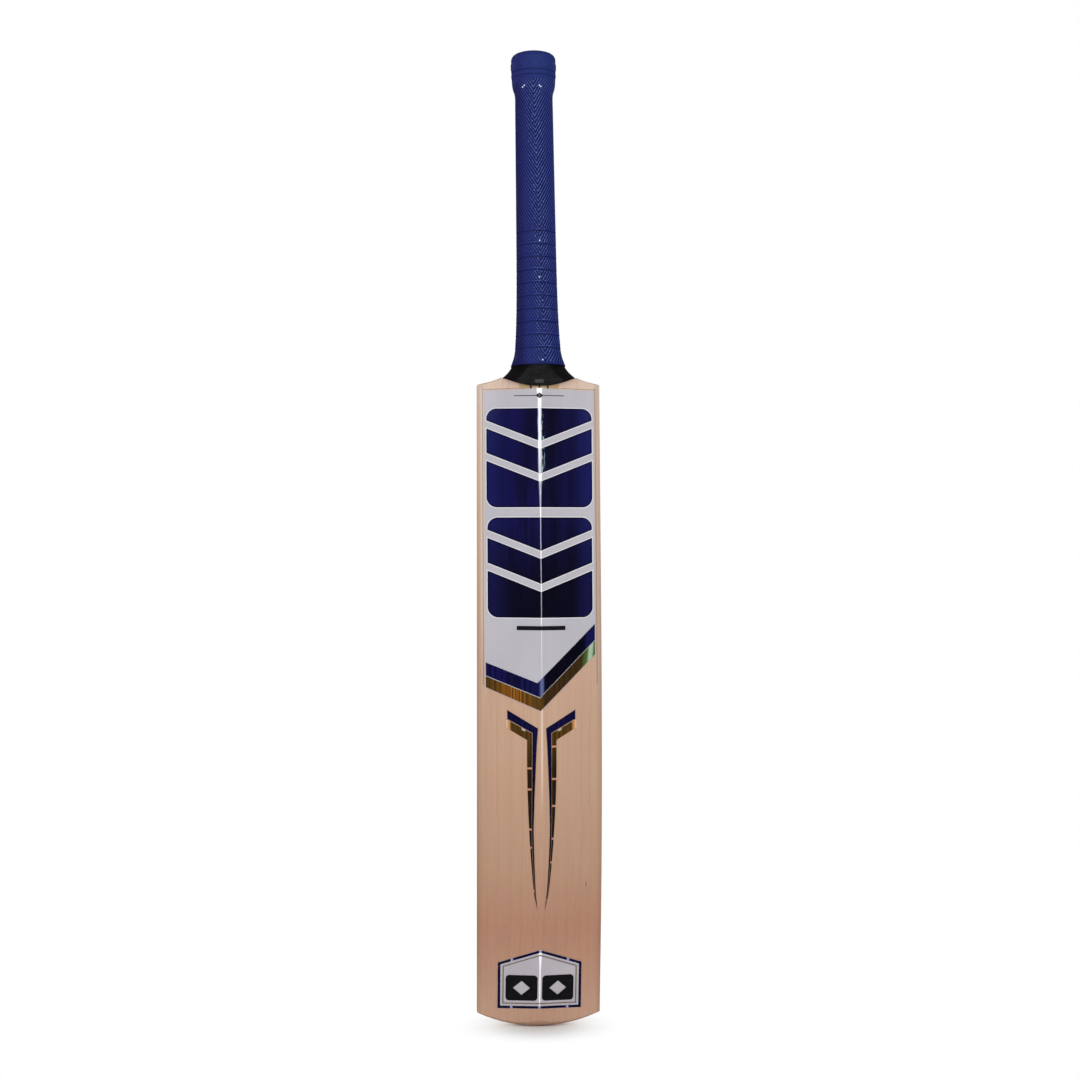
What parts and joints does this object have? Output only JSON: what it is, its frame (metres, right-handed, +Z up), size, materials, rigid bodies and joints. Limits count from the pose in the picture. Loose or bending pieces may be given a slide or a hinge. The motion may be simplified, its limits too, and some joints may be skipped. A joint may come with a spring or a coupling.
{
  "type": "cricket bat",
  "caption": "Adult short-handle cricket bat: ridged willow blade, V-spliced cane handle with rubber springs, twine binding and a slide-off rubber grip, with plain foil decals on the back.",
  "frame": {"origin": "under the middle of the toe: lowest point of the blade, centred across its width and depth", "axes": "+Z up along the blade to the handle, +X across the blade (right as seen from the ridged back), +Y towards the hitting face"},
  "size_m": [0.108, 0.0991, 0.8594],
  "materials": {
    "willow": "satin",
    "cane": "satin",
    "spring_rubber": "matte",
    "twine": "gloss",
    "grip_rubber": "satin",
    "label_white": "gloss",
    "foil_navy": "gloss",
    "foil_blue": "gloss",
    "foil_gold": "gloss",
    "print_black": "gloss"
  },
  "bodies": {
    "bat": {"badge_border": "foil_blue", "badge_emblem_left": "print_black", "badge_emblem_right": "print_black", "badge_film": "label_white", "badge_gold_line": "foil_gold", "blade": "willow", "cane_inner_left_back": "cane", "cane_inner_left_front": "cane", "cane_inner_left_middle": "cane", "cane_inner_right_back": "cane", "cane_inner_right_front": "cane", "cane_inner_right_middle": "cane", "cane_outer_left_back": "cane", "cane_outer_left_front": "cane", "cane_outer_left_middle": "cane", "cane_outer_right_back": "cane", "cane_outer_right_front": "cane", "cane_outer_right_middle": "cane", "flash_left_blue": "foil_blue", "flash_left_gold": "foil_gold", "flash_right_blue": "foil_blue", "flash_right_gold": "foil_gold", "foil_block_lower_bottom": "foil_navy", "foil_block_lower_middle": "foil_navy", "foil_block_lower_top": "foil_navy", "foil_block_upper_bottom": "foil_navy", "foil_block_upper_middle": "foil_navy", "foil_block_upper_top": "foil_navy", "label_band_blue": "foil_blue", "label_band_gold": "foil_gold", "label_bar": "print_black", "label_film": "label_white", "label_hairline": "print_black", "rubber_spring_centre": "spring_rubber", "rubber_spring_left": "spring_rubber", "rubber_spring_right": "spring_rubber", "twine_binding": "twine"},
    "grip_sleeve": {"grip": "grip_rubber"}
  },
  "joints": [
    {"name": "grip_pull", "type": "slide", "parent": "bat", "child": "grip_sleeve", "axis": [-0.0105, 0.0872, 0.9961], "range_m": [0, 0.3]}
  ]
}
